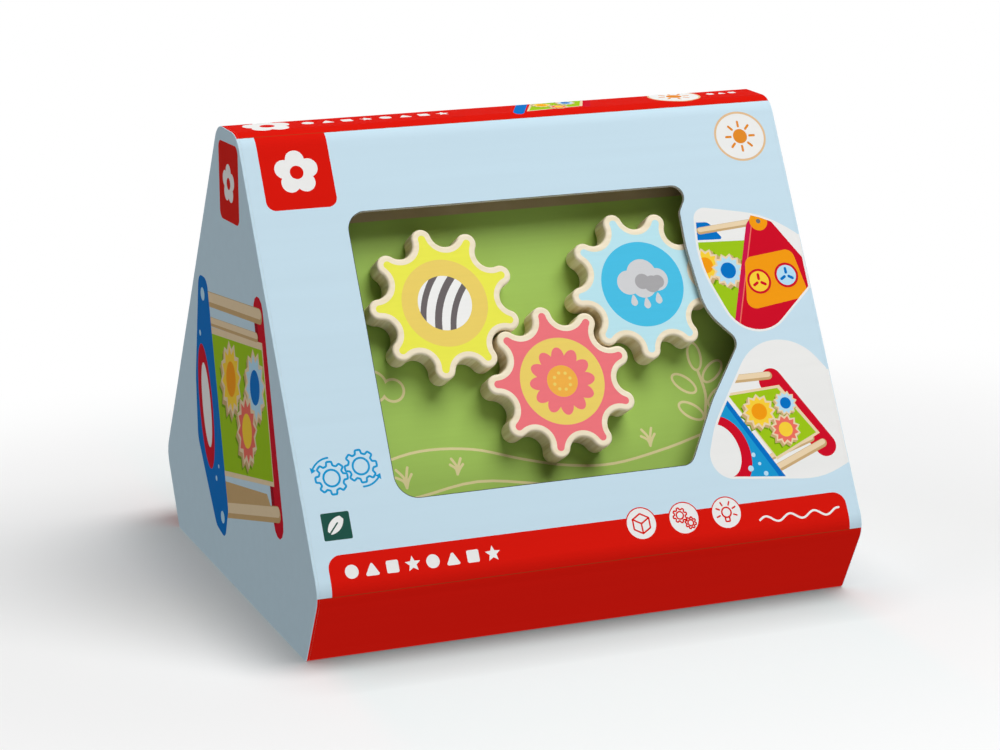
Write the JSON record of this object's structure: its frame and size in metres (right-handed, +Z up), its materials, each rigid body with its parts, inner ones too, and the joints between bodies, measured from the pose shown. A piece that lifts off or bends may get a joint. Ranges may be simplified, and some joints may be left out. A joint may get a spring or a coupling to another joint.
{
  "type": "activity triangle in display carton",
  "caption": "Wooden toddler activity triangle with meshing gears, in a triangular display carton whose shaped window shows the gears and whose tray slides out.",
  "frame": {"origin": "on the floor under the middle of the carton", "axes": "+X along the ridge from the mirror end to the eye end, -Y out of the window side, +Z up"},
  "size_m": [0.3, 0.268, 0.248],
  "materials": {
    "printed_board_blue": "offset print with satin coating on micro-flute board",
    "printed_board_red": "offset print with satin coating on micro-flute board",
    "kraft_board": "bare kraft liner",
    "beech_natural": "sanded, clear water-based lacquer",
    "plywood_natural": "sanded, clear water-based lacquer",
    "wood_blue": "satin water-based paint",
    "wood_red": "satin water-based paint",
    "wood_green": "satin water-based paint",
    "wood_sun": "satin water-based paint",
    "wood_yellow": "satin water-based paint with bare edges",
    "wood_coral": "satin water-based paint with bare edges",
    "wood_pale_blue": "satin water-based paint with bare edges",
    "wood_light_blue": "satin water-based paint",
    "wood_orange": "satin water-based paint",
    "wood_white": "satin water-based paint",
    "mirror_plate": "mirrored acrylic",
    "dark_steel": "blackened",
    "nylon": "natural nylon"
  },
  "bodies": {
    "sleeve": {"sleeve_front_panel": "printed_board_blue", "sleeve_top_panel": "printed_board_red", "sleeve_back_panel": "printed_board_blue", "sleeve_base_panel": "printed_board_red", "sleeve_front_skirt": "printed_board_red", "sleeve_back_skirt": "printed_board_red", "sleeve_right_end": "printed_board_blue"},
    "toy": {"tray_left_end": "printed_board_blue", "tray_base": "kraft_board", "tray_right_lip": "kraft_board", "tray_front_riser": "kraft_board", "tray_back_riser": "kraft_board", "blue_end": "wood_blue", "red_end": "wood_red", "carry_handle": "beech_natural", "front_rail": "beech_natural", "back_rail": "beech_natural", "upper_rail": "beech_natural", "gear_panel": "wood_green", "back_panel": "wood_sun", "floor_board": "plywood_natural", "mirror": "mirror_plate", "blue_corner_buttons": "wood_light_blue", "red_corner_buttons": "wood_orange", "corner_screws": "dark_steel", "gear_washers": "nylon"},
    "coral_gear_body": {"coral_gear": "wood_coral", "coral_gear_peg": "beech_natural"},
    "yellow_gear_body": {"yellow_gear": "wood_yellow", "yellow_gear_peg": "beech_natural"},
    "blue_gear_body": {"blue_gear": "wood_pale_blue", "blue_gear_peg": "beech_natural"},
    "front_eye_body": {"front_eye": "wood_white", "front_eye_peg": "beech_natural"},
    "back_eye_body": {"back_eye": "wood_white", "back_eye_peg": "beech_natural"}
  },
  "joints": [
    {"name": "tray_slide", "type": "slide", "parent": "sleeve", "child": "toy", "axis": [-1, 0, 0], "range_m": [0, 0.3]},
    {"name": "coral_gear_turn", "type": "hinge", "parent": "toy", "child": "coral_gear_body", "pos_m": [0, -0.0735, 0.11461], "axis": [0, -0.868, 0.4966], "continuous": true},
    {"name": "yellow_gear_turn", "type": "hinge", "parent": "toy", "child": "yellow_gear_body", "pos_m": [-0.0552, -0.05008, 0.15554], "axis": [0, -0.868, 0.4966], "continuous": true},
    {"name": "blue_gear_turn", "type": "hinge", "parent": "toy", "child": "blue_gear_body", "pos_m": [0.0552, -0.05008, 0.15554], "axis": [0, -0.868, 0.4966], "continuous": true},
    {"name": "front_eye_turn", "type": "hinge", "parent": "toy", "child": "front_eye_body", "pos_m": [0.1394, -0.026, 0.1268], "axis": [1, 0, 0], "continuous": true},
    {"name": "back_eye_turn", "type": "hinge", "parent": "toy", "child": "back_eye_body", "pos_m": [0.1394, 0.026, 0.1268], "axis": [1, 0, 0], "continuous": true}
  ],
  "couplings": [
    {"joint": "yellow_gear_turn", "follows": "coral_gear_turn", "ratio": -1},
    {"joint": "blue_gear_turn", "follows": "coral_gear_turn", "ratio": -1}
  ]
}
